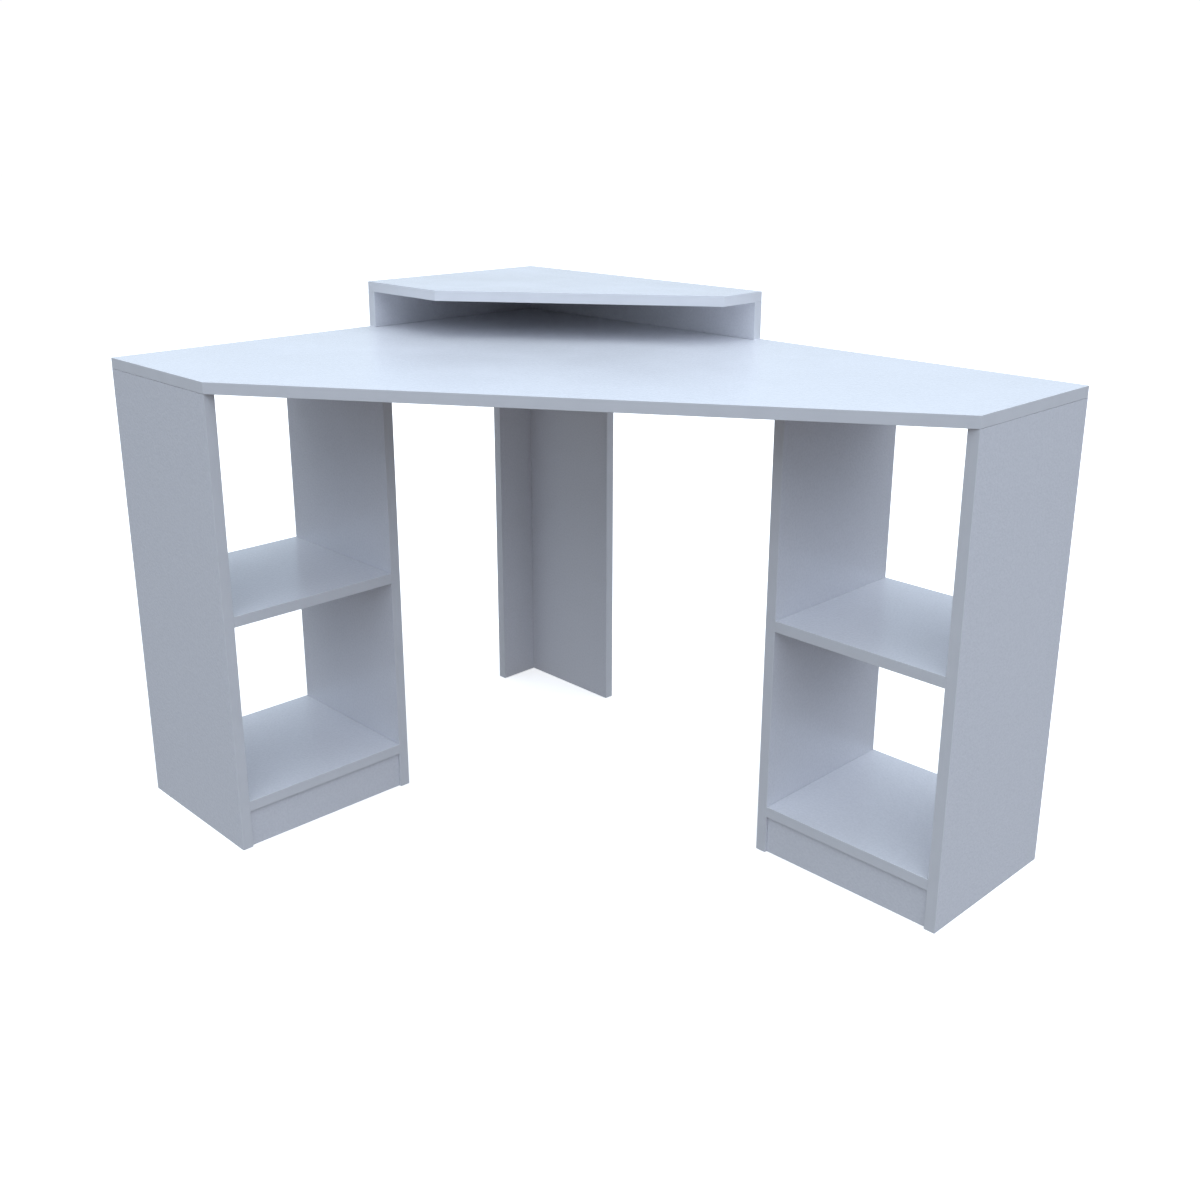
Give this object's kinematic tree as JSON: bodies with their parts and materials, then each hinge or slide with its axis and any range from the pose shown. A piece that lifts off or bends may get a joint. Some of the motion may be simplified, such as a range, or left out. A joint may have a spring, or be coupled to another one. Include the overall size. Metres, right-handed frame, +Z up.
{
  "type": "corner desk",
  "caption": "Five-sided corner desk in white board with an open shelved pedestal under each wing, an L-shaped corner leg and a low riser shelf.",
  "frame": {"origin": "on the floor, under the middle of the desk's bounding box", "axes": "+X along the back wall, from the room corner to the long wing's end; +Y towards the back wall, so the side wall is at -X; +Z up"},
  "size_m": [1.2, 0.9, 0.85],
  "materials": {
    "melamine_board": "chipboard faced with white melamine, satin with a fine pearl grain",
    "edge_banding": "white ABS edge banding, 1 mm, satin, eased edges",
    "zinc_casting": "die-cast zinc, as cast",
    "zinc_plated_steel": "bright zinc-plated steel",
    "beech": "raw beech, turned",
    "cap_plastic": "white moulded plastic"
  },
  "bodies": {
    "root": {"corner_leg_cam_bolts": "zinc_plated_steel", "corner_leg_cam_locks": "zinc_casting", "corner_leg_dowels": "beech", "corner_leg_narrow": "melamine_board", "corner_leg_narrow_edging": "edge_banding", "corner_leg_wide": "melamine_board", "corner_leg_wide_edging": "edge_banding", "desktop": "melamine_board", "desktop_edging": "edge_banding", "left_pedestal_bottom_shelf": "melamine_board", "left_pedestal_bottom_shelf_edging": "edge_banding", "left_pedestal_cam_bolts": "zinc_plated_steel", "left_pedestal_cam_caps": "cap_plastic", "left_pedestal_cam_locks": "zinc_casting", "left_pedestal_dowels": "beech", "left_pedestal_inner_side": "melamine_board", "left_pedestal_inner_side_edging": "edge_banding", "left_pedestal_middle_shelf": "melamine_board", "left_pedestal_middle_shelf_edging": "edge_banding", "left_pedestal_outer_side": "melamine_board", "left_pedestal_outer_side_edging": "edge_banding", "left_pedestal_plinth": "melamine_board", "right_pedestal_bottom_shelf": "melamine_board", "right_pedestal_bottom_shelf_edging": "edge_banding", "right_pedestal_cam_bolts": "zinc_plated_steel", "right_pedestal_cam_caps": "cap_plastic", "right_pedestal_cam_locks": "zinc_casting", "right_pedestal_dowels": "beech", "right_pedestal_inner_side": "melamine_board", "right_pedestal_inner_side_edging": "edge_banding", "right_pedestal_middle_shelf": "melamine_board", "right_pedestal_middle_shelf_edging": "edge_banding", "right_pedestal_outer_side": "melamine_board", "right_pedestal_outer_side_edging": "edge_banding", "right_pedestal_plinth": "melamine_board", "riser_back_rail": "melamine_board", "riser_back_rail_edging": "edge_banding", "riser_cam_bolts": "zinc_plated_steel", "riser_cam_locks": "zinc_casting", "riser_dowels": "beech", "riser_screws": "zinc_plated_steel", "riser_shelf": "melamine_board", "riser_shelf_edging": "edge_banding", "riser_side_rail": "melamine_board", "riser_side_rail_edging": "edge_banding"}
  },
  "joints": []
}
